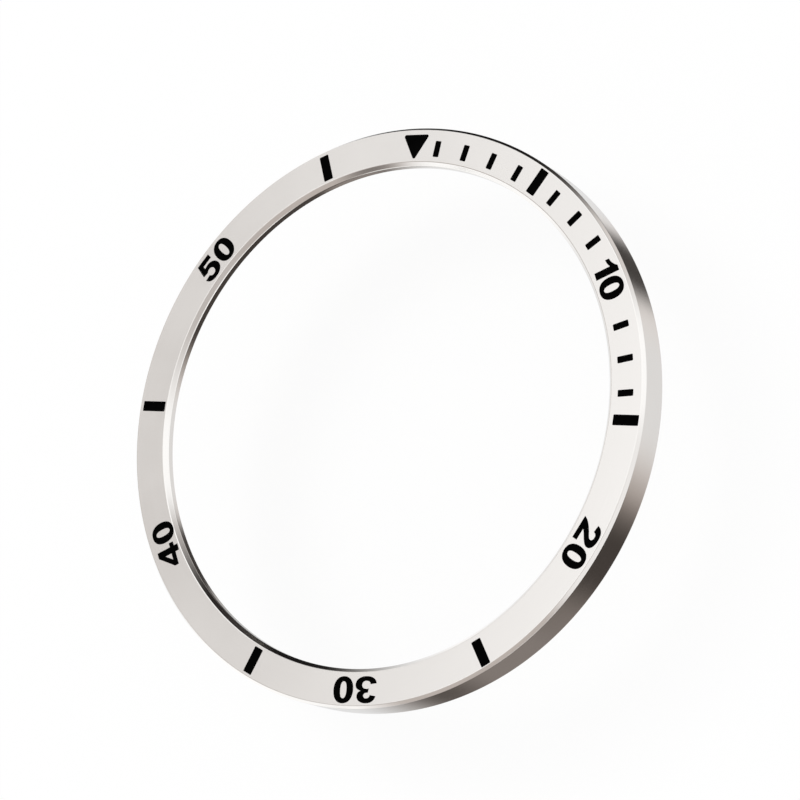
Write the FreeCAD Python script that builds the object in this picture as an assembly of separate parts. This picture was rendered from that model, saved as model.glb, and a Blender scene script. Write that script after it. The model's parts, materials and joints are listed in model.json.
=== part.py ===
import FreeCAD, Part
import math, os

# Stick-on bezel ring for a round smartwatch.
# The origin is on the ring's axis, in the plane of the skirt's foot. +Z points out of the dial face
# and +Y points to the 12 o'clock triangle. All lengths are in mm and all angles in degrees.

# Driving sizes of the steel ring.
window_radius = 19.22        # straight wall of the window
face_width = 2.5             # flat face between the two bevels
ring_height = 2.9             # foot to dial face
outer_bevel_width = 0.2
outer_bevel_drop = 0.29
window_bevel_width = 0.28
window_bevel_drop = 0.34
flange_thickness = 0.88
skirt_thickness = 0.8
skirt_draft = 0.04            # how much the outer wall leans in towards the foot
face_edge_round = 0.1         # round between the face and the window bevel
window_edge_round = 0.18      # round between the window bevel and the window wall
outer_edge_round = 0.06       # rounds along both edges of the outer bevel
foot_edge_break = 0.06
socket_lead_in = 0.15
socket_corner_round = 0.25    # between the socket wall and the underside of the flange

# Engraving and its enamel. The margins lie between a mark and the edges of the flat face.
engraving_depth = 0.15
enamel_below_face = 0.015
bar_margin = 0.21
bar_width = 0.797
tick_length = 1.257
tick_width = 0.512
stroke_corner_round = 0.075
triangle_base_margin = 0.385
triangle_point_margin = 0.08
triangle_corner_round = 0.15
digit_margin = 0.285
digit_gap = 0.17              # clear space between the two digits of a numeral

# Adhesive ring and release liner.
adhesive_thickness = 0.15
adhesive_window_clearance = 0.32
adhesive_corner_clearance = 0.15
liner_thickness = 0.1
liner_slit = 0.4              # cut across the liner, where a fingernail lifts it

# Clock angles of the long marks and numerals, clockwise from the triangle, and how far out across
# the face their middles lie, as shares of its width.
bar_clocks = {"05": 32.1, "15": 90.5, "25": 146.5, "35": 202.6, "45": 270.4, "55": 337.8}
bar_place_shares = {"05": 0.53, "15": 0.56, "25": 0.565, "35": 0.5, "45": 0.48, "55": 0.48}
numeral_clocks = {"10": 60.7, "20": 116.5, "30": 176.3, "40": 238.5, "50": 305.4}
numeral_place_shares = {"10": 0.51, "20": 0.515, "30": 0.525, "40": 0.426, "50": 0.48}
numeral_leans = {"10": 3.8, "20": 1.5, "30": 0, "40": 3.8, "50": 0}

# Short ticks stand beside a long mark at one angle and follow on at a common pitch. Each run is
# named by its first minute, and holds the mark that it starts from, its direction and its length.
tick_beside_mark = 5.5
tick_pitch = 7.05
tick_runs = {1: (0, 1, 4), 6: (bar_clocks["05"], 1, 3), 14: (bar_clocks["15"], -1, 3)}
tick_place_shares = {1: 0.41, 6: 0.465, 14: 0.475}
tick_drift_shares = {1: 0, 6: 0.048, 14: 0}

# The digits are drawn one digit high: x from the left edge and y up from the base line. A single
# pair is the end of a straight stroke. Three pairs are the handles and the end of a curved one.
digit_outline_shares = {
    "0": [
        ((0.886, 0.5),),
        ((0.886, 0.838), (0.704, 1.02), (0.443, 1.02)),
        ((0.182, 1.02), (0, 0.838), (0, 0.5)),
        ((0, 0.162), (0.182, -0.02), (0.443, -0.02)),
        ((0.704, -0.02), (0.886, 0.162), (0.886, 0.5)),
    ],
    "1": [
        ((0.614, 0),),
        ((0.614, 1),),
        ((0.396, 1),),
        ((0.306, 0.875), (0.17, 0.77), (0, 0.742)),
        ((0, 0.57),),
        ((0.132, 0.585), (0.234, 0.63), (0.31, 0.684)),
        ((0.31, 0),),
    ],
    "2": [
        ((0, 0),),
        ((0.915, 0),),
        ((0.915, 0.216),),
        ((0.445, 0.216),),
        ((0.495, 0.28), (0.62, 0.37), (0.74, 0.458)),
        ((0.85, 0.55), (0.938, 0.635), (0.938, 0.745)),
        ((0.938, 0.92), (0.755, 1.02), (0.49, 1.02)),
        ((0.22, 1.02), (0.06, 0.9), (0.035, 0.7)),
        ((0.315, 0.668),),
        ((0.33, 0.77), (0.39, 0.815), (0.485, 0.815)),
        ((0.575, 0.815), (0.63, 0.775), (0.63, 0.71)),
        ((0.63, 0.637), (0.56, 0.594), (0.41, 0.495)),
        ((0.2, 0.335), (0.05, 0.2), (0, 0)),
    ],
    "3": [
        ((0, 0.255),),
        ((0.03, 0.08), (0.2, -0.02), (0.46, -0.02)),
        ((0.75, -0.02), (0.94, 0.11), (0.94, 0.31)),
        ((0.94, 0.42), (0.85, 0.51), (0.7, 0.535)),
        ((0.81, 0.575), (0.86, 0.645), (0.86, 0.735)),
        ((0.86, 0.9), (0.69, 1.02), (0.44, 1.02)),
        ((0.2, 1.02), (0.05, 0.92), (0.01, 0.745)),
        ((0.275, 0.705),),
        ((0.29, 0.785), (0.345, 0.83), (0.43, 0.83)),
        ((0.508, 0.83), (0.558, 0.792), (0.558, 0.727)),
        ((0.558, 0.652), (0.49, 0.612), (0.362, 0.615)),
        ((0.33, 0.453),),
        ((0.37, 0.463), (0.405, 0.467), (0.435, 0.467)),
        ((0.56, 0.467), (0.637, 0.412), (0.637, 0.313)),
        ((0.637, 0.217), (0.56, 0.16), (0.45, 0.16)),
        ((0.348, 0.16), (0.28, 0.205), (0.27, 0.29)),
    ],
    "4": [
        ((0.55, 0),), ((0.828, 0),), ((0.828, 0.173),), ((1, 0.173),), ((1, 0.378),),
        ((0.828, 0.378),), ((0.828, 1),), ((0.582, 1),), ((0, 0.36),), ((0, 0.173),),
        ((0.55, 0.173),),
    ],
    "5": [
        ((0, 0.27),),
        ((0.03, 0.085), (0.2, -0.02), (0.44, -0.02)),
        ((0.72, -0.02), (0.915, 0.13), (0.915, 0.335)),
        ((0.915, 0.55), (0.745, 0.695), (0.52, 0.695)),
        ((0.45, 0.695), (0.38, 0.683), (0.325, 0.655)),
        ((0.341, 0.785),),
        ((0.84, 0.785),),
        ((0.84, 1),),
        ((0.145, 1),),
        ((0.036, 0.455),),
        ((0.284, 0.43),),
        ((0.324, 0.472), (0.375, 0.491), (0.442, 0.491)),
        ((0.545, 0.491), (0.613, 0.43), (0.613, 0.333)),
        ((0.613, 0.231), (0.538, 0.172), (0.442, 0.172)),
        ((0.354, 0.172), (0.29, 0.22), (0.28, 0.295)),
    ],
}
digit_counter_shares = {
    "0": [
        ((0.583, 0.5),),
        ((0.583, 0.73), (0.525, 0.824), (0.443, 0.824)),
        ((0.361, 0.824), (0.303, 0.73), (0.303, 0.5)),
        ((0.303, 0.27), (0.361, 0.176), (0.443, 0.176)),
        ((0.525, 0.176), (0.583, 0.27), (0.583, 0.5)),
    ],
    "4": [((0.55, 0.378),), ((0.55, 0.675),), ((0.285, 0.378),)],
}

# Sizes that follow from the ones above.
face_level = ring_height
face_inner_radius = window_radius + window_bevel_width
face_outer_radius = face_inner_radius + face_width
ring_radius = face_outer_radius + outer_bevel_width
flange_underside = face_level - flange_thickness
socket_radius = ring_radius - skirt_thickness
foot_radius = ring_radius - skirt_draft
engraving_floor = face_level - engraving_depth
enamel_level = face_level - enamel_below_face
bar_length = face_width - 2 * bar_margin
digit_height = face_width - 2 * digit_margin
triangle_height = face_width - triangle_base_margin - triangle_point_margin
adhesive_inner_radius = window_radius + adhesive_window_clearance
adhesive_outer_radius = socket_radius - socket_corner_round - adhesive_corner_clearance
adhesive_underside = flange_underside - adhesive_thickness
liner_underside = adhesive_underside - liner_thickness

axis_up = FreeCAD.Vector(0, 0, 1)
centre = FreeCAD.Vector(0, 0, 0)


def rounded_corner(before, corner, after, radius):
    """The start, middle and end of an arc that rounds one corner of an outline."""
    back = (before - corner).normalize()
    ahead = (after - corner).normalize()
    half = back.getAngle(ahead) / 2
    reach = radius / math.tan(half)
    middle = (back + ahead).normalize() * (radius / math.sin(half) - radius)
    return corner + back * reach, corner + middle, corner + ahead * reach


def outline_face(corners):
    """A flat face from its corners. Each corner is (point, radius), and radius 0 keeps it sharp."""
    places = []
    for i, (point, radius) in enumerate(corners):
        before = corners[i - 1][0]
        after = corners[(i + 1) % len(corners)][0]
        if radius:
            places.append(rounded_corner(before, point, after, radius))
        else:
            places.append((point, None, point))
    edges = []
    for i, (start, middle, end) in enumerate(places):
        if middle:
            edges.append(Part.Arc(start, middle, end).toShape())
        following = places[(i + 1) % len(places)][0]
        edges.append(Part.makeLine(end, following))
    return Part.Face(Part.Wire(edges))


def ring_blank():
    """The L-shaped section turned once round the axis."""
    section = [
        (face_inner_radius, face_level, face_edge_round),
        (face_outer_radius, face_level, outer_edge_round),
        (ring_radius, face_level - outer_bevel_drop, outer_edge_round),
        (foot_radius, foot_edge_break, 0),
        (foot_radius - foot_edge_break, 0, 0),
        (socket_radius + socket_lead_in, 0, 0),
        (socket_radius, socket_lead_in, 0),
        (socket_radius, flange_underside, socket_corner_round),
        (window_radius, flange_underside, 0),
        (window_radius, face_level - window_bevel_drop, window_edge_round),
    ]
    corners = [(FreeCAD.Vector(radius, 0, level), arc) for radius, level, arc in section]
    return outline_face(corners).revolve(centre, axis_up, 360)


def drawn_face(outline_shares):
    """One outline of a digit as a flat face, one digit high."""
    strokes = [[FreeCAD.Vector(x, y, 0) for x, y in stroke] for stroke in outline_shares]
    edges = []
    at = strokes[0][0]
    for stroke in strokes[1:] + [strokes[0]]:
        if len(stroke) > 1:
            bend = Part.BezierCurve()
            bend.setPoles([at] + stroke)
            edges.append(bend.toShape())
        elif at != stroke[0]:
            edges.append(Part.makeLine(at, stroke[0]))
        at = stroke[-1]
    return Part.Face(Part.Wire(edges))


def digit_face(digit):
    """One digit, one digit high, with its counter open."""
    face = drawn_face(digit_outline_shares[digit])
    if digit in digit_counter_shares:
        face = face.cut(drawn_face(digit_counter_shares[digit])).Faces[0]
    return face


def numeral_outlines(numeral):
    """The digits of one numeral side by side, centred on the origin."""
    faces = [digit_face(digit).scaled(digit_height, centre) for digit in numeral]
    widths = [face.BoundBox.XLength for face in faces]
    left = -(sum(widths) + digit_gap * (len(faces) - 1)) / 2
    for face, width in zip(faces, widths):
        face.translate(FreeCAD.Vector(left, -digit_height / 2, 0))
        left += width + digit_gap
    return faces


def stroke_outline(width, length):
    """A bar with slightly rounded corners, centred on the origin."""
    x, y = width / 2, length / 2
    places = [(x, y), (-x, y), (-x, -y), (x, -y)]
    return outline_face([(FreeCAD.Vector(a, b, 0), stroke_corner_round) for a, b in places])


def triangle_outline():
    """An equal-sided triangle that points to the ring's middle, its base on the X axis."""
    half_side = triangle_height / math.sqrt(3)
    places = [(half_side, 0), (-half_side, 0), (0, -triangle_height)]
    return outline_face([(FreeCAD.Vector(a, b, 0), triangle_corner_round) for a, b in places])


def placed_on_dial(face, clock, radius, lean=0):
    """Move an outline, drawn about the origin with +Y outwards, to its place on the dial."""
    moved = face.copy()
    moved.rotate(centre, axis_up, -(clock + lean))
    turn = math.radians(clock)
    moved.translate(FreeCAD.Vector(radius * math.sin(turn), radius * math.cos(turn), 0))
    return moved


def across_face(share):
    """The radius at a share of the way from the inner to the outer edge of the face."""
    return face_inner_radius + share * face_width


def tick_marks():
    """The outline of every short tick, keyed by its minute."""
    ticks = {}
    outline = stroke_outline(tick_width, tick_length)
    for start, (mark_clock, way, count) in tick_runs.items():
        for i in range(count):
            clock = mark_clock + way * (tick_beside_mark + i * tick_pitch)
            radius = across_face(tick_place_shares[start] + i * tick_drift_shares[start])
            ticks[f"{start + way * i:02d}"] = placed_on_dial(outline, clock, radius)
    return ticks


def dial_outlines():
    """The flat outlines of every mark, keyed by the name of its enamel."""
    base_radius = face_outer_radius - triangle_base_margin
    marks = {"triangle_infill_00": [placed_on_dial(triangle_outline(), 0, base_radius)]}
    for minute, clock in bar_clocks.items():
        radius = across_face(bar_place_shares[minute])
        outline = stroke_outline(bar_width, bar_length)
        marks[f"bar_infill_{minute}"] = [placed_on_dial(outline, clock, radius)]
    for minute, outline in sorted(tick_marks().items()):
        marks[f"tick_infill_{minute}"] = [outline]
    for numeral, clock in numeral_clocks.items():
        radius = across_face(numeral_place_shares[numeral])
        lean = numeral_leans[numeral]
        marks[f"numeral_infill_{numeral}"] = [
            placed_on_dial(face, clock, radius, lean) for face in numeral_outlines(numeral)
        ]
    return marks


def slab(face, low, high):
    """A flat outline turned into a solid between two heights."""
    lifted = face.copy()
    lifted.translate(FreeCAD.Vector(0, 0, low))
    return lifted.extrude(FreeCAD.Vector(0, 0, high - low))


def bezel_ring(marks):
    """The steel ring with a pocket for every mark."""
    above = face_level + engraving_depth
    pockets = [slab(face, engraving_floor, above) for faces in marks.values() for face in faces]
    return ring_blank().cut(Part.makeCompound(pockets)).Solids[0]


def enamel(faces):
    """The enamel of one mark, which fills its pocket almost to the face."""
    solids = [slab(face, engraving_floor, enamel_level) for face in faces]
    return solids[0] if len(solids) == 1 else Part.makeCompound(solids)


def under_flange_ring(low, thickness):
    """A flat ring under the flange, clear of the window and of the socket's rounded corner."""
    base = FreeCAD.Vector(0, 0, low)
    ring = Part.makeCylinder(adhesive_outer_radius, thickness, base)
    return ring.cut(Part.makeCylinder(adhesive_inner_radius, thickness, base)).Solids[0]


def adhesive_ring():
    return under_flange_ring(adhesive_underside, adhesive_thickness)


def release_liner():
    """The paper ring under the adhesive, with the slit at 6 o'clock where it is lifted."""
    ring = under_flange_ring(liner_underside, liner_thickness)
    corner = FreeCAD.Vector(-liner_slit / 2, -ring_radius, liner_underside)
    return ring.cut(Part.makeBox(liner_slit, ring_radius, liner_thickness, corner)).Solids[0]


marks = dial_outlines()
nodes = {
    "bezel_ring": bezel_ring(marks),
    "adhesive_ring": adhesive_ring(),
    "release_liner": release_liner(),
}
for name, faces in marks.items():
    nodes[name] = enamel(faces)

os.makedirs("parts", exist_ok=True)
for name, shape in nodes.items():
    if not shape.isValid():
        raise ValueError(f"{name} is not a valid shape")
    shape.exportStep(f"parts/{name}.step")
    print(name, len(shape.Solids), round(shape.Volume, 4))
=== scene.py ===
import json
import math
from collections import namedtuple
import bmesh
import bpy
from mathutils import Matrix, Vector


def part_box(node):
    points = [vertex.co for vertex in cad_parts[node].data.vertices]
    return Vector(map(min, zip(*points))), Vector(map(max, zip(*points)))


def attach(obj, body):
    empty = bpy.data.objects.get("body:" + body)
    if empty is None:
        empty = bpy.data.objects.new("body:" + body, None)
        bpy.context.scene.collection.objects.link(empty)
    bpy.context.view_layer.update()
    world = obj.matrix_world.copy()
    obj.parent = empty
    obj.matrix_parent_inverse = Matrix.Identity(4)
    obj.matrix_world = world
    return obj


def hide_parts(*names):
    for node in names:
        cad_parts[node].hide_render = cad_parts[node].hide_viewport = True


# Looks of the stick-on bezel ring. Lengths are in metres and angles in degrees, in the frame's own
# axes: +Z out of the dial face, +Y to the 12 o'clock triangle, +X to 3 o'clock. A clock angle runs
# clockwise from the triangle.

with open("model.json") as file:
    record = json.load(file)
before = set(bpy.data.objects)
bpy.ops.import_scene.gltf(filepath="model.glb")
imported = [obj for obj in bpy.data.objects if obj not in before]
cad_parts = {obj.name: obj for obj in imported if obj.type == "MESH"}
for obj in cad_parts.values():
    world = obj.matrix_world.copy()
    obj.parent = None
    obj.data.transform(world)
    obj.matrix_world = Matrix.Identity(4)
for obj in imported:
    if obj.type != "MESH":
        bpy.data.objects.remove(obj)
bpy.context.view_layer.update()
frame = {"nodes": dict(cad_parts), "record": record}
nodes = frame["nodes"]
mounts = {mount["name"]: mount for mount in frame["record"]["mounts"]}
infill_names = sorted(name for name in nodes if "_infill_" in name)

MM = 0.001
MICRON = 0.001 * MM

# Sizes of the steel ring, from the frame.
ring_low, ring_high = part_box("bezel_ring")
ring_radius = min(ring_high.x, ring_high.y, -ring_low.x, -ring_low.y)
face_level = ring_high.z
window_radius = mounts["window"]["dims"]["r_mm"] * MM
socket_radius = mounts["socket"]["dims"]["r_mm"] * MM
flange_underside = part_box("adhesive_ring")[1].z
engraving_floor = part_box("triangle_infill_00")[0].z

# Bevels and rounds of its section.
outer_bevel_width = 0.2 * MM
outer_bevel_drop = 0.29 * MM
window_bevel_width = 0.28 * MM
window_bevel_drop = 0.34 * MM
skirt_draft = 0.04 * MM
face_edge_round = 0.1 * MM
window_edge_round = 0.18 * MM
outer_edge_round = 0.06 * MM
foot_edge_round = 0.06 * MM
socket_lead_in = 0.15 * MM
socket_corner_round = 0.25 * MM
face_inner_radius = window_radius + window_bevel_width
face_outer_radius = ring_radius - outer_bevel_width
foot_radius = ring_radius - skirt_draft

# How finely the ring is drawn, and how its marks are cut.
turn_steps = 720
round_steps = 6
support_gap = 0.02 * MM        # row of points that keeps a flat strip flat up to its rounded edge
pocket_overcut = 0.2 * MM      # how far the pocket cutters stand above the face
weld_distance = 1 * MICRON
crease_angle = 40

# The enamel's surface.
enamel_rim = 0.05 * MM
enamel_sag = 0.012 * MM
enamel_sag_shares = (0.2, 0.8)  # of the sag, at each step in from the pocket's wall
enamel_top_upward = 0.9        # how far upwards a face of the flat top points, from 0 to 1
enamel_dish_upward = 0.5       # the same for a face of the sunk top, with its rim

# Scale of the finishes.
satin_line_pitch = 0.045 * MM
satin_line_stretch = 4.0       # the larger, the shorter the lines
satin_grain = 0.05 * MM
hairline_pitch = 0.03 * MM
hairline_stretch = 1.5
lathe_line_pitch = 0.08 * MM
lathe_line_stretch = 0.6
handling_patch = 6 * MM
wear_width = 0.09 * MM
enamel_peel = 0.12 * MM
enamel_patch = 0.8 * MM
foam_cell = 0.12 * MM
paper_fibre = 0.2 * MM

# Depth of their bumps.
satin_line_depth = 0.15 * MICRON
satin_grain_depth = 0.25 * MICRON
hairline_depth = 0.03 * MICRON
lathe_line_depth = 0.8 * MICRON
lathe_grain_depth = 0.2 * MICRON
enamel_peel_depth = 0.3 * MICRON
foam_cell_depth = 4 * MICRON
foam_grain_depth = 2 * MICRON
paper_fibre_depth = 3 * MICRON

# How rough they are, from their smoothest to their roughest spots.
satin_rough = (0.22, 0.26)
satin_line_rough = (-0.015, 0.015)     # what the turned lines add
satin_wear = 0.1                       # what wear takes off along the face's edges
polish_rough = (0.10, 0.15)
hairline_rough = (-0.01, 0.02)         # what the hairlines add
lathe_rough = (0.28, 0.42)
enamel_rough = (0.34, 0.44)
foam_rough = (0.55, 0.75)
paper_rough = (0.42, 0.58)

# Their colours.
steel_tint = (0.90, 0.883, 0.862)
satin_dull_share = 0.985
polish_dull_share = 0.98
lathe_dark_share = 0.9
lathe_light_share = 0.97
enamel_dark = (0.0002, 0.0002, 0.0002)
enamel_light = (0.0006, 0.0006, 0.0006)
enamel_ior = 1.07              # low, as the photograph's enamel mirrors next to nothing
foam_light = (0.030, 0.030, 0.032)
foam_dark = (0.016, 0.016, 0.017)
paper_dark = (0.80, 0.74, 0.60)
paper_light = (0.86, 0.81, 0.69)
paper_stain = (0.78, 0.71, 0.56)
paper_stain_share = 0.3

# The levels of a noise between which it takes a finish from its first look to its second.
usual_span = (0.3, 0.7)
satin_tone_span = (0.25, 0.75)
polish_rough_span = (0.35, 0.75)
hairline_span = (0.35, 0.65)
handling_span = (0.3, 0.8)
foam_cell_span = (0.1, 0.6)

# The camera, at the photograph's viewing angle.
camera_place = Vector((129.328, -43.927, 200.721)) * MM
camera_target = Vector((1.793, 0.985, 2.928)) * MM
camera_roll = 65.88
camera_lens_mm = 145.234
sensor_mm = 36

# The floor and the light.
floor_half_width = 1.5
floor_level = -8.5 * MM        # just under the liner once it is peeled off
floor_share_lit = 0.15         # part of the floor's white that shadows can take away
floor_bounce = 0.8             # how white it is to all rays but the camera's, so to the underside
world_diffuse_level = 0.8
sun_level = 0.2
sun_size = 35
sun_clock = 300
sun_height = 60

# What the metal mirrors: a white studio with soft-edged cards hung in it, each in front of the ones
# before it. A card has its clock angle and height above the horizon, half its width and height, the
# width of its soft edges across and up, its level against white, and its warmth.
Card = namedtuple("Card", "clock height half_width half_height soft_across soft_up level warmth")
studio_white = 1.1
warm_green_loss_share = 0.12
warm_blue_loss_share = 0.19
cards = {
    # All round the ring.
    "ceiling": Card(0, 90, 200, 11, 14, 12, 0.70, 0.4),
    "ceiling_left": Card(216, 73, 44, 12, 20, 8, 0.62, 0.6),
    "left_wall": Card(280, -30, 20, 17, 18, 12, 0.85, 0.0),
    "low_left": Card(290, -66, 58, 16, 20, 14, 0.80, 0.0),
    "low_right": Card(58, -66, 42, 22, 16, 16, 0.78, 0.1),
    "low_warm": Card(160, -64, 72, 22, 40, 16, 0.70, 1.1),
    "right_wall": Card(108, 5, 28, 20, 20, 16, 0.93, 0.1),
    "side_warm": Card(174, 6, 36, 28, 18, 18, 0.54, 0.8),
    "top_warm": Card(128, 44, 34, 22, 50, 14, 0.50, 0.6),
    "glint": Card(140, -14, 26, 7, 16, 10, 1.60, 0.0),
    "glint_left": Card(204, -16, 8, 8, 8, 8, 1.20, 0.0),
    "streak": Card(198, 12, 8, 5, 14, 6, 0.19, 0.8),
    # Low, beyond 3 to 7 o'clock, where the outer wall and the window's wall look.
    "low_dark": Card(165, -49, 71, 15, 38, 14, 0.05, 1.3),
    "low_rise": Card(140, -37, 48, 8, 20, 8, 0.05, 1.3),
    "low_rise_left": Card(182, -30, 14, 14, 12, 10, 0.06, 1.3),
    "low_glow": Card(184, -61, 20, 5, 20, 8, 0.24, 1.0),
    "low_gleam": Card(211, -52, 14, 4, 10, 5, 0.28, 1.0),
    "low_darkest": Card(128, -62, 20, 18, 24, 14, 0.06, 1.3),
    # Beyond 12 o'clock, where the outer bevel looks at 12 o'clock and the window bevel at 6.
    "back_halo": Card(0, -2, 40, 30, 20, 16, 0.93, 0.4),
    "back_halo_low": Card(2, -60, 28, 24, 20, 16, 0.78, 0.4),
    "back_low": Card(358, -65, 15.5, 26, 17, 14, 0.06, 0.8),
    "back_corner": Card(8, -48, 12, 8, 14, 8, 0.06, 0.8),
    "back_right": Card(31, -28, 8, 14, 12, 12, 0.10, 0.8),
    "back_side": Card(0, -30, 26, 21.5, 24, 12, 0.03, 1.6),
    "back_left": Card(324, -41.5, 15, 12, 12, 8, 0.01, 0.6),
    "back_dark": Card(338.6, -22, 21.3, 27, 30, 10, 0.008, 0.6),
    "back_up": Card(357, 12.5, 36, 14.5, 46, 12, 0.02, 1.0),
    "back_gap": Card(1, -1.5, 9, 6, 16, 6, 0.04, 1.0),
    "back_edge": Card(331, 2, 4, 24, 8, 10, 0.01, 0.8),
    "back_brow": Card(325, 38, 10, 8, 14, 10, 0.05, 1.0),
    # Above, beyond 7 to 10 o'clock, round the place that the dial face mirrors.
    "face_glow": Card(286, 69, 26, 7, 24, 10, 1.30, 0.0),
    "face_card": Card(276, 40, 24, 17, 30, 5, 0.60, 0.4),
    "face_shade": Card(232, 36, 27, 19, 26, 14, 0.45, 0.8),
    "face_shade_right": Card(262, 24, 14, 8, 14, 12, 0.42, 0.8),
}


# Node helpers

class Graph:
    """Adds nodes to a node tree and links them in one call."""

    def __init__(self, tree):
        self.tree = tree

    def plug(self, socket, value):
        """Links another node's output to a socket, or gives the socket a value of its own."""
        if isinstance(value, bpy.types.NodeSocket):
            self.tree.links.new(value, socket)
        else:
            socket.default_value = value

    def add(self, kind, inputs=None, **settings):
        node = self.tree.nodes.new(kind)
        for key, value in settings.items():
            setattr(node, key, value)
        for key, value in (inputs or {}).items():
            self.plug(node.inputs[key], value)
        return node

    def math(self, operation, *values):
        node = self.add("ShaderNodeMath", dict(enumerate(values)), operation=operation)
        return node.outputs[0]

    def fade(self, value, start, end, low=0.0, high=1.0):
        """Goes smoothly from low to high while value goes from start to end."""
        node = self.add(
            "ShaderNodeMapRange",
            {"Value": value, "From Min": start, "From Max": end, "To Min": low, "To Max": high},
            interpolation_type="SMOOTHSTEP",
        )
        return node.outputs["Result"]

    def mix(self, share, first, second):
        """A colour between two others. The mix node keeps its two colours in sockets 6 and 7."""
        node = self.add("ShaderNodeMix", {0: share, 6: first, 7: second}, data_type="RGBA")
        return node.outputs[2]


def colour(red, green, blue, level=1.0):
    """An opaque colour, its three parts scaled by one level."""
    return (red * level, green * level, blue * level, 1.0)


def new_material(name):
    """An empty material, and the graph to fill it with."""
    material = bpy.data.materials.new(name)
    material.use_nodes = True
    material.node_tree.nodes.clear()
    return material, Graph(material.node_tree)


# Mesh helpers

def object_from(built, name):
    """Puts a finished bmesh into the scene as an object."""
    mesh = bpy.data.meshes.new(name)
    built.to_mesh(mesh)
    built.free()
    made = bpy.data.objects.new(name, mesh)
    bpy.context.scene.collection.objects.link(made)
    return made


def apply_modifiers(made):
    """Keeps the shape that the modifiers give."""
    graph = bpy.context.evaluated_depsgraph_get()
    shaped = bpy.data.meshes.new_from_object(made.evaluated_get(graph))
    made.modifiers.clear()
    made.data = shaped


def crease_sharp_edges(made, angle):
    """Smooth shading that breaks at each edge sharper than an angle."""
    built = bmesh.new()
    built.from_mesh(made.data)
    for face in built.faces:
        face.smooth = True
    for edge in built.edges:
        edge.smooth = len(edge.link_faces) == 2 and edge.calc_face_angle() < math.radians(angle)
    built.to_mesh(made.data)
    built.free()


# The steel ring

SATIN, POLISHED, MACHINED = range(3)    # its finishes, in the order of its material slots


def rounded_corner(before, corner, after, radius):
    """Points along the arc that rounds one corner of the section."""
    back = (before - corner).normalized()
    ahead = (after - corner).normalized()
    half = back.angle(ahead) / 2
    reach = radius / math.tan(half)
    centre = corner + (back + ahead).normalized() * (radius / math.sin(half))
    start, end = corner + back * reach, corner + ahead * reach
    first_spoke, last_spoke = start - centre, end - centre
    sweep = first_spoke.angle(last_spoke)
    points = []
    for i in range(round_steps + 1):
        share = i / round_steps
        weights = math.sin((1 - share) * sweep), math.sin(share * sweep)
        points.append(centre + (first_spoke * weights[0] + last_spoke * weights[1]) / math.sin(sweep))
    return points


def ring_section():
    """The closed section as points in (radius, level), each with the finish of the strip after it."""
    corners = [
        (face_inner_radius, face_level, face_edge_round, SATIN),
        (face_outer_radius, face_level, outer_edge_round, POLISHED),
        (ring_radius, face_level - outer_bevel_drop, outer_edge_round, POLISHED),
        (foot_radius, 0, foot_edge_round, MACHINED),
        (socket_radius + socket_lead_in, 0, 0, MACHINED),
        (socket_radius, socket_lead_in, 0, MACHINED),
        (socket_radius, flange_underside, socket_corner_round, MACHINED),
        (window_radius, flange_underside, 0, POLISHED),
        (window_radius, face_level - window_bevel_drop, window_edge_round, POLISHED),
    ]
    places = [Vector((radius, level)) for radius, level, _, _ in corners]
    points = []
    for i, (_, _, arc, finish) in enumerate(corners):
        before, place, after = places[i - 1], places[i], places[(i + 1) % len(places)]
        run = rounded_corner(before, place, after, arc) if arc else [place]
        entry = run[0] + (before - run[0]).normalized() * support_gap
        leave = run[-1] + (after - run[-1]).normalized() * support_gap
        previous = corners[i - 1][3]
        points.append((entry, previous))
        points.extend((point, POLISHED if arc else previous) for point in run[:-1])
        points.append((run[-1], finish))
        points.append((leave, finish))
    return points


def turned_ring(name, section, steps):
    """A closed section of (radius, level) points turned once round the axis."""
    built = bmesh.new()
    rows = []
    for i in range(steps):
        angle = math.tau * i / steps
        across = Vector((math.sin(angle), math.cos(angle), 0))
        rows.append([built.verts.new(across * p.x + Vector((0, 0, p.y))) for p, _ in section])
    count = len(section)
    for i in range(steps):
        row, following = rows[i], rows[(i + 1) % steps]
        for j in range(count):
            k = (j + 1) % count
            face = built.faces.new((row[j], row[k], following[k], following[j]))
            face.material_index = section[j][1]
    bmesh.ops.recalc_face_normals(built, faces=built.faces)
    return object_from(built, name)


def pocket_cutter():
    """Every mark's solid, raised through the face, as one mesh."""
    built = bmesh.new()
    for name in infill_names:
        built.from_mesh(nodes[name].data)
    bmesh.ops.remove_doubles(built, verts=built.verts, dist=weld_distance)
    middle = (engraving_floor + face_level) / 2
    for vert in built.verts:
        if vert.co.z > middle:
            vert.co.z = face_level + pocket_overcut
    return object_from(built, "pocket_cutter")


def cut_pockets(ring):
    """Cuts the marks' pockets into the ring. Their walls and floors get the machined finish."""
    cutter = pocket_cutter()
    cutter.data.materials.append(ring.data.materials[MACHINED])
    pockets = ring.modifiers.new("pockets", "BOOLEAN")
    pockets.object = cutter
    pockets.operation = "DIFFERENCE"
    pockets.solver = "EXACT"
    pockets.material_mode = "TRANSFER"
    bpy.context.view_layer.update()
    apply_modifiers(ring)
    bpy.data.objects.remove(cutter)


def steel_ring():
    """The engraved ring, in place of its plain solid."""
    ring = turned_ring("steel_ring", ring_section(), turn_steps)
    for material in (satin_steel(), polished_steel(), machined_steel()):
        ring.data.materials.append(material)
    cut_pockets(ring)
    crease_sharp_edges(ring, crease_angle)
    ring.visible_glossy = False    # its bevels and walls mirror the studio, not its far side
    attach(ring, "bezel")
    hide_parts("bezel_ring")


# The enamel

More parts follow.
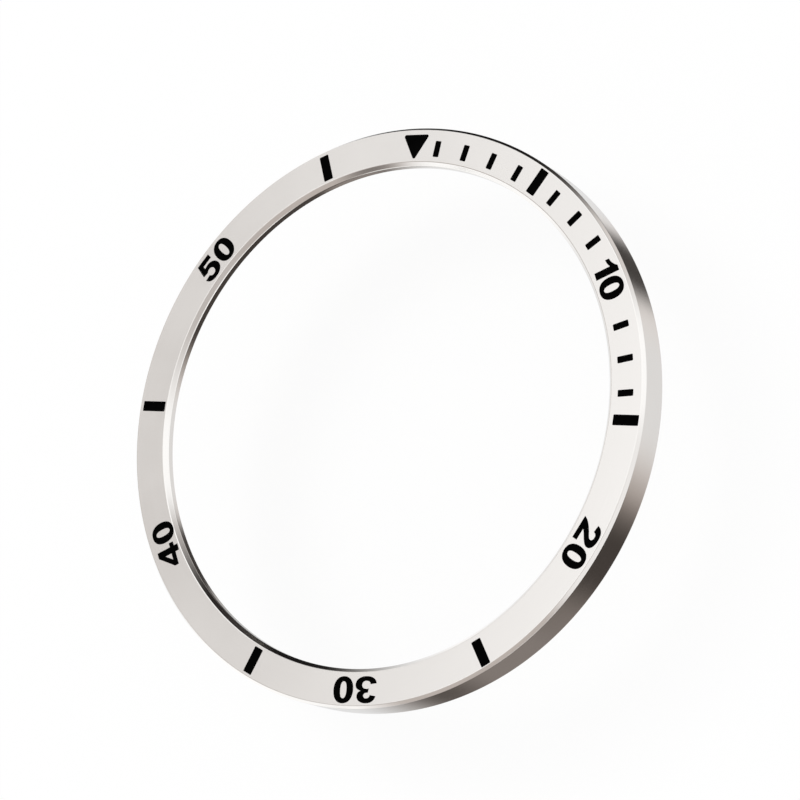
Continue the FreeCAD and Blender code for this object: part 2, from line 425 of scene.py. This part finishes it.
def enamel_fill(name, material):
    """One mark's enamel, sunk a little inside the narrow rim where it clings to the pocket's wall."""
    built = bmesh.new()
    built.from_mesh(nodes[name].data)
    bmesh.ops.remove_doubles(built, verts=built.verts, dist=weld_distance)
    surface = [face for face in built.faces if face.normal.z > enamel_top_upward]
    for share in enamel_sag_shares:
        bmesh.ops.inset_region(
            built, faces=surface, thickness=enamel_rim / len(enamel_sag_shares),
            depth=-share * enamel_sag, use_even_offset=True, use_boundary=True,
        )
    for face in built.faces:
        face.smooth = face.normal.z > enamel_dish_upward
    made = object_from(built, f"enamel_{name}")
    made.data.materials.append(material)
    made.visible_glossy = False    # or the socket's wall would mirror it straight through the flange
    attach(made, "bezel")
    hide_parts(name)


# Materials

def object_places(graph):
    """Each point's place in the piece's own axes."""
    return graph.add("ShaderNodeTexCoord").outputs["Object"]


def round_places(graph):
    """The distance from the ring's axis, the direction from it, the height and the place itself."""
    place = object_places(graph)
    axes = graph.add("ShaderNodeSeparateXYZ", {0: place})
    flat = graph.add("ShaderNodeCombineXYZ", {"X": axes.outputs["X"], "Y": axes.outputs["Y"]}).outputs[0]
    radius = graph.add("ShaderNodeVectorMath", {0: flat}, operation="LENGTH").outputs["Value"]
    direction = graph.add("ShaderNodeVectorMath", {0: flat}, operation="NORMALIZE").outputs[0]
    return radius, direction, axes.outputs["Z"], place


def turned_lines(graph, radius, direction, height, pitch, stretch):
    """Noise drawn out into fine lines round the axis, a pitch apart across the surface."""
    around = graph.add("ShaderNodeVectorMath", {0: direction, "Scale": stretch}, operation="SCALE").outputs[0]
    axes = graph.add("ShaderNodeSeparateXYZ", {0: around})
    place = graph.add("ShaderNodeCombineXYZ", {
        "X": axes.outputs["X"], "Y": axes.outputs["Y"], "Z": graph.math("DIVIDE", height, pitch),
    }).outputs[0]
    noise = graph.add("ShaderNodeTexNoise", {
        "Vector": place, "W": graph.math("DIVIDE", radius, pitch), "Scale": 1.0, "Detail": 2.0,
    }, noise_dimensions="4D")
    return noise.outputs[0]


def speckle(graph, place, size, detail=2.0):
    """Even noise with features of about one size."""
    noise = graph.add("ShaderNodeTexNoise", {"Vector": place, "Scale": 1 / size, "Detail": detail})
    return noise.outputs[0]


def finish_material(graph, base, roughness, heights, **constants):
    """A Principled shader over stacked bumps. Each height is (noise, depth in metres)."""
    normal = None
    for height, depth in heights:
        bump = graph.add("ShaderNodeBump", {"Strength": 1.0, "Distance": depth, "Height": height})
        if normal:
            graph.plug(bump.inputs["Normal"], normal)
        normal = bump.outputs[0]
    inputs = {"Base Color": base, "Roughness": roughness, "Normal": normal}
    inputs.update(constants)
    shader = graph.add("ShaderNodeBsdfPrincipled", inputs)
    graph.add("ShaderNodeOutputMaterial", {"Surface": shader.outputs[0]})


def satin_steel():
    """The dial face: fine blasting over faint turned lines, worn smoother along its two edges."""
    material, graph = new_material("satin_steel")
    radius, direction, height, place = round_places(graph)
    lines = turned_lines(graph, radius, direction, height, satin_line_pitch, satin_line_stretch)
    grain = speckle(graph, place, satin_grain)
    cloud = speckle(graph, place, handling_patch, detail=3.0)
    inner_wear = graph.fade(radius, face_inner_radius + wear_width, face_inner_radius)
    outer_wear = graph.fade(radius, face_outer_radius - wear_width, face_outer_radius)
    wear = graph.math("MAXIMUM", inner_wear, outer_wear)
    matt = graph.fade(cloud, *usual_span, *satin_rough)
    matt = graph.math("ADD", matt, graph.fade(lines, *usual_span, *satin_line_rough))
    rough = graph.math("SUBTRACT", matt, graph.math("MULTIPLY", wear, satin_wear))
    dull, bright = colour(*steel_tint, satin_dull_share), colour(*steel_tint)
    tone = graph.mix(graph.fade(cloud, *satin_tone_span), dull, bright)
    bumps = [(lines, satin_line_depth), (grain, satin_grain_depth)]
    finish_material(graph, tone, rough, bumps, Metallic=1.0)
    return material


def polished_steel():
    """The bevels and walls: bright, with hairlines from the polishing wheel and faint handling."""
    material, graph = new_material("polished_steel")
    radius, direction, height, place = round_places(graph)
    hairlines = turned_lines(graph, radius, direction, height, hairline_pitch, hairline_stretch)
    cloud = speckle(graph, place, handling_patch, detail=4.0)
    rough = graph.fade(cloud, *polish_rough_span, *polish_rough)
    rough = graph.math("ADD", rough, graph.fade(hairlines, *hairline_span, *hairline_rough))
    bright, dull = colour(*steel_tint), colour(*steel_tint, polish_dull_share)
    tone = graph.mix(graph.fade(cloud, *handling_span), bright, dull)
    finish_material(graph, tone, rough, [(hairlines, hairline_depth)], Metallic=1.0)
    return material


def machined_steel():
    """The foot, socket, underside and pockets: left as the lathe and the cutter leave them."""
    material, graph = new_material("machined_steel")
    radius, direction, height, place = round_places(graph)
    grooves = turned_lines(graph, radius, direction, height, lathe_line_pitch, lathe_line_stretch)
    grain = speckle(graph, place, satin_grain)
    rough = graph.fade(grooves, *usual_span, *lathe_rough)
    dark, light = colour(*steel_tint, lathe_dark_share), colour(*steel_tint, lathe_light_share)
    tone = graph.mix(graph.fade(grooves, *usual_span), dark, light)
    bumps = [(grooves, lathe_line_depth), (grain, lathe_grain_depth)]
    finish_material(graph, tone, rough, bumps, Metallic=1.0)
    return material


def black_enamel():
    """Baked enamel: deep black, with a slight orange peel and a sheen at low angles."""
    material, graph = new_material("black_enamel")
    place = object_places(graph)
    peel = speckle(graph, place, enamel_peel)
    cloud = speckle(graph, place, enamel_patch)
    tone = graph.mix(graph.fade(cloud, *usual_span), colour(*enamel_dark), colour(*enamel_light))
    rough = graph.fade(peel, *usual_span, *enamel_rough)
    finish_material(graph, tone, rough, [(peel, enamel_peel_depth)], IOR=enamel_ior)
    return material


def foam_tape():
    """The double-sided tape: closed-cell foam with a slightly tacky skin."""
    material, graph = new_material("foam_tape")
    place = object_places(graph)
    cells = graph.add("ShaderNodeTexVoronoi", {"Vector": place, "Scale": 1 / foam_cell}).outputs["Distance"]
    grain = speckle(graph, place, foam_cell / 2)
    tone = graph.mix(graph.fade(cells, *foam_cell_span), colour(*foam_light), colour(*foam_dark))
    rough = graph.fade(grain, *usual_span, *foam_rough)
    finish_material(graph, tone, rough, [(cells, foam_cell_depth), (grain, foam_grain_depth)])
    return material


def liner_paper():
    """The release paper: pale glassine with fibres and a slightly waxy sheen."""
    material, graph = new_material("liner_paper")
    place = object_places(graph)
    fibres = graph.add("ShaderNodeTexNoise", {
        "Vector": place, "Scale": 1 / paper_fibre, "Detail": 6.0, "Distortion": 1.5,
    }).outputs[0]
    cloud = speckle(graph, place, handling_patch)
    tone = graph.mix(graph.fade(fibres, *usual_span), colour(*paper_dark), colour(*paper_light))
    stain = graph.fade(cloud, *handling_span, 0, paper_stain_share)
    tone = graph.mix(stain, tone, colour(*paper_stain))
    rough = graph.fade(fibres, *usual_span, *paper_rough)
    finish_material(graph, tone, rough, [(fibres, paper_fibre_depth)])
    return material


def repaint(node, material):
    """Gives a piece that keeps its own mesh a better material."""
    for slot in node.material_slots:
        slot.material = material


# Studio

def floor_white():
    """White that only partly depends on the light, and is clear from below."""
    material, graph = new_material("floor_white")
    seen = graph.add("ShaderNodeLightPath").outputs["Is Camera Ray"]
    shown = graph.mix(seen, colour(1, 1, 1, floor_bounce), colour(1, 1, 1, floor_share_lit))
    white = graph.add("ShaderNodeBsdfDiffuse", {"Color": shown})
    glow_level = graph.math("MULTIPLY", seen, 1 - floor_share_lit)
    glow = graph.add("ShaderNodeEmission", {"Strength": glow_level})
    both = graph.add("ShaderNodeAddShader", {0: white.outputs[0], 1: glow.outputs[0]})
    below = graph.add("ShaderNodeNewGeometry").outputs["Backfacing"]
    clear = graph.add("ShaderNodeBsdfTransparent")
    one_sided = graph.add("ShaderNodeMixShader", {0: below, 1: both.outputs[0], 2: clear.outputs[0]})
    graph.add("ShaderNodeOutputMaterial", {"Surface": one_sided.outputs[0]})
    return material


def lay_floor():
    """A white floor below the ring. It is clear from below, so that the underside can be looked at."""
    mesh = bpy.data.meshes.new("floor")
    signs = ((-1, -1), (1, -1), (1, 1), (-1, 1))
    corners = [(x * floor_half_width, y * floor_half_width, floor_level) for x, y in signs]
    mesh.from_pydata(corners, [], [(0, 1, 2, 3)])
    mesh.materials.append(floor_white())
    floor = bpy.data.objects.new("floor", mesh)
    bpy.context.scene.collection.objects.link(floor)
    floor.visible_glossy = False


def hang_sun():
    """A wide, weak sun, which gives the ring its faint, soft shadow."""
    light = bpy.data.lights.new("soft_sun", "SUN")
    light.energy = sun_level * math.pi / math.sin(math.radians(sun_height))
    light.angle = math.radians(sun_size)
    lamp = bpy.data.objects.new("soft_sun", light)
    clock, height = math.radians(sun_clock), math.radians(sun_height)
    flat = math.cos(height)
    towards = Vector((math.sin(clock) * flat, math.cos(clock) * flat, math.sin(height)))
    lamp.rotation_euler = towards.to_track_quat("Z", "Y").to_euler()
    lamp.visible_glossy = False
    bpy.context.scene.collection.objects.link(lamp)


def hang_card(graph, clock, height, shown, card):
    """One card, by its direction, in front of what was shown before it."""
    turned = graph.math("SUBTRACT", clock, card.clock)
    beside = graph.math("ABSOLUTE", graph.math("WRAP", turned, 180, -180))
    above = graph.math("ABSOLUTE", graph.math("SUBTRACT", height, card.height))
    half_edge_across, half_edge_up = card.soft_across / 2, card.soft_up / 2
    across = graph.fade(beside, card.half_width + half_edge_across, card.half_width - half_edge_across)
    upright = graph.fade(above, card.half_height + half_edge_up, card.half_height - half_edge_up)
    share = graph.math("MULTIPLY", across, upright)
    green, blue = 1 - warm_green_loss_share * card.warmth, 1 - warm_blue_loss_share * card.warmth
    return graph.mix(share, shown, colour(1, green, blue, card.level))


def mirrored_studio(graph):
    """The colour of the studio in each direction."""
    direction = graph.add("ShaderNodeTexCoord").outputs["Generated"]
    axes = graph.add("ShaderNodeSeparateXYZ", {0: direction})
    clock = graph.math("DEGREES", graph.math("ARCTAN2", axes.outputs["X"], axes.outputs["Y"]))
    height = graph.math("DEGREES", graph.math("ARCSINE", axes.outputs["Z"]))
    shown = colour(1, 1, 1, studio_white)
    for card in cards.values():
        shown = hang_card(graph, clock, height, shown, card)
    return shown


def light_world():
    """The studio in the metal, plain white light on all else, and a white backdrop."""
    world = bpy.data.worlds.new("studio")
    world.use_nodes = True
    world.node_tree.nodes.clear()
    graph = Graph(world.node_tree)
    path = graph.add("ShaderNodeLightPath")
    mirrored = graph.add("ShaderNodeBackground", {"Color": mirrored_studio(graph)})
    plain = graph.add("ShaderNodeBackground", {"Color": colour(1, 1, 1), "Strength": world_diffuse_level})
    backdrop = graph.add("ShaderNodeBackground", {"Color": colour(1, 1, 1)})
    lit = graph.add("ShaderNodeMixShader", {
        0: path.outputs["Is Glossy Ray"], 1: plain.outputs[0], 2: mirrored.outputs[0],
    })
    seen = graph.add("ShaderNodeMixShader", {
        0: path.outputs["Is Camera Ray"], 1: lit.outputs[0], 2: backdrop.outputs[0],
    })
    graph.add("ShaderNodeOutputWorld", {"Surface": seen.outputs[0]})
    bpy.context.scene.world = world


def place_camera():
    """The camera, turned about its line of sight until the ring leans as in the photograph."""
    camera = bpy.data.objects.new("camera", bpy.data.cameras.new("camera"))
    bpy.context.scene.collection.objects.link(camera)
    camera.data.sensor_width = sensor_mm
    camera.data.lens = camera_lens_mm
    ahead = (camera_target - camera_place).normalized()
    level_right = ahead.cross(Vector((0, 0, 1))).normalized()
    level_up = level_right.cross(ahead)
    roll = math.radians(camera_roll)
    up = level_up * math.cos(roll) + level_right * math.sin(roll)
    right = ahead.cross(up)
    turn = Matrix((right, up, -ahead)).transposed()
    camera.matrix_world = Matrix.Translation(camera_place) @ turn.to_4x4()
    bpy.context.scene.camera = camera


steel_ring()
enamel = black_enamel()
for name in infill_names:
    enamel_fill(name, enamel)
repaint(nodes["adhesive_ring"], foam_tape())
repaint(nodes["release_liner"], liner_paper())
lay_floor()
hang_sun()
light_world()
place_camera()
bpy.context.scene.view_settings.view_transform = "Standard"
